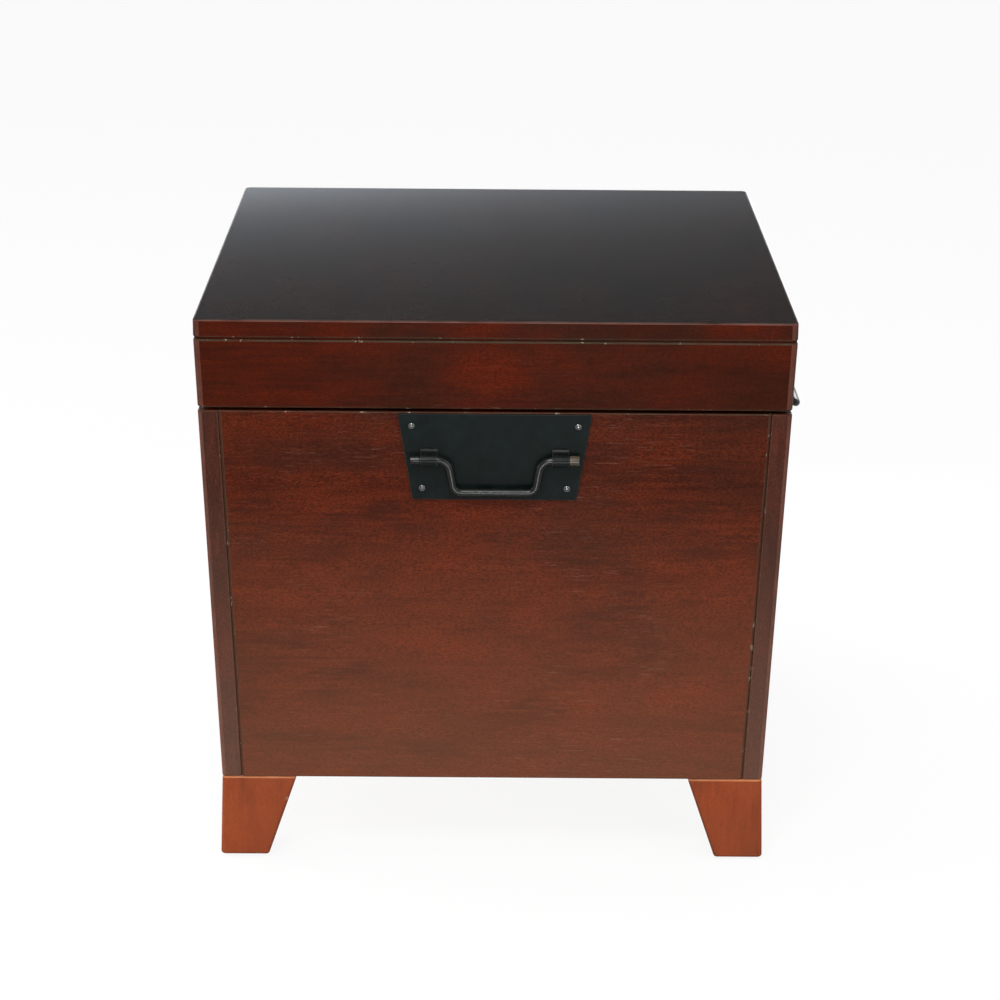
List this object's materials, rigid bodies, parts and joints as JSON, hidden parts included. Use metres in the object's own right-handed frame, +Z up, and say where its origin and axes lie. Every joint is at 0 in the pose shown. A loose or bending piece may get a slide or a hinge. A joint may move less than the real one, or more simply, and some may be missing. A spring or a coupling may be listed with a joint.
{
  "type": "trunk end table",
  "caption": "Trunk table: tapered wooden case on block feet under a hinged box lid, with an iron plate and swinging bail handle on the front and on each side.",
  "frame": {"origin": "on the floor under the middle of the whole outline, handles and hinges included", "axes": "+Z up, -Y to the front handle, +X to the right as seen from the front"},
  "size_m": [0.602, 0.6266, 0.5455],
  "materials": {
    "stained_board": "dark red-brown stain under satin lacquer, fine grain",
    "stained_top": "darker stain under satin lacquer",
    "stained_foot": "lighter red-brown stain, satin",
    "plain_wood": "bare softwood",
    "plywood": "bare plywood",
    "dark_iron": "dark blue-black satin iron finish",
    "worn_iron": "dark iron finish rubbed back to metal",
    "bright_screw": "bright nickel",
    "zinc_steel": "zinc-plated steel",
    "nylon_glide": "dark brown nylon",
    "bumper_rubber": "soft rubber"
  },
  "bodies": {
    "case": {"front_panel": "stained_board", "back_panel": "stained_board", "left_side_panel": "stained_board", "right_side_panel": "stained_board", "bottom_panel": "plywood", "bottom_cleats": "plain_wood", "corner_blocks": "plain_wood", "front_left_foot": "stained_foot", "front_right_foot": "stained_foot", "rear_left_foot": "stained_foot", "rear_right_foot": "stained_foot", "foot_glides": "nylon_glide", "foot_bolts": "zinc_steel", "front_handle_plate": "dark_iron", "front_handle_knuckles": "dark_iron", "front_handle_screws": "bright_screw", "left_handle_plate": "dark_iron", "left_handle_knuckles": "dark_iron", "left_handle_screws": "bright_screw", "right_handle_plate": "dark_iron", "right_handle_knuckles": "dark_iron", "right_handle_screws": "bright_screw", "left_hinge_case_leaf": "dark_iron", "left_hinge_pin": "zinc_steel", "right_hinge_case_leaf": "dark_iron", "right_hinge_pin": "zinc_steel", "hinge_case_screws": "dark_iron", "left_stay_channel": "zinc_steel", "right_stay_channel": "zinc_steel", "stay_case_screws": "zinc_steel"},
    "lid": {"top_board": "stained_top", "lid_front_rail": "stained_board", "lid_back_rail": "stained_board", "lid_left_rail": "stained_board", "lid_right_rail": "stained_board", "lid_corner_blocks": "plain_wood", "lid_bumpers": "bumper_rubber", "left_hinge_lid_leaf": "dark_iron", "right_hinge_lid_leaf": "dark_iron", "hinge_lid_screws": "dark_iron", "left_stay_bracket": "zinc_steel", "right_stay_bracket": "zinc_steel", "stay_lid_screws": "zinc_steel"},
    "front_bail": {"front_bail": "worn_iron"},
    "left_bail": {"left_bail": "worn_iron"},
    "right_bail": {"right_bail": "worn_iron"},
    "left_stay_arm": {"left_stay_arm": "zinc_steel"},
    "right_stay_arm": {"right_stay_arm": "zinc_steel"}
  },
  "joints": [
    {"name": "lid_swing", "type": "hinge", "parent": "case", "child": "lid", "pos_m": [0, 0.30864, 0.4501], "axis": [-1, 0, 0], "range_deg": [0, 75]},
    {"name": "left_stay_turn", "type": "hinge", "parent": "lid", "child": "left_stay_arm", "pos_m": [-0.26047, 0.14064, 0.4761], "axis": [1, 0, 0], "range_deg": [0, 150]},
    {"name": "right_stay_turn", "type": "hinge", "parent": "lid", "child": "right_stay_arm", "pos_m": [0.23713, 0.14064, 0.4761], "axis": [1, 0, 0], "range_deg": [0, 150]},
    {"name": "front_bail_swing", "type": "hinge", "parent": "case", "child": "front_bail", "pos_m": [-0.01167, -0.30736, 0.41319], "axis": [-1, 0, 0], "range_deg": [-5, 178]},
    {"name": "left_bail_swing", "type": "hinge", "parent": "case", "child": "left_bail", "pos_m": [-0.295, 0.00147, 0.41319], "axis": [0, 1, 0], "range_deg": [-5, 178]},
    {"name": "right_bail_swing", "type": "hinge", "parent": "case", "child": "right_bail", "pos_m": [0.27166, 0.00147, 0.41319], "axis": [0, -1, 0], "range_deg": [-59, 124]}
  ],
  "couplings": [
    {"joint": "left_stay_turn", "follows": "lid_swing", "ratio": 2},
    {"joint": "right_stay_turn", "follows": "lid_swing", "ratio": 2}
  ]
}
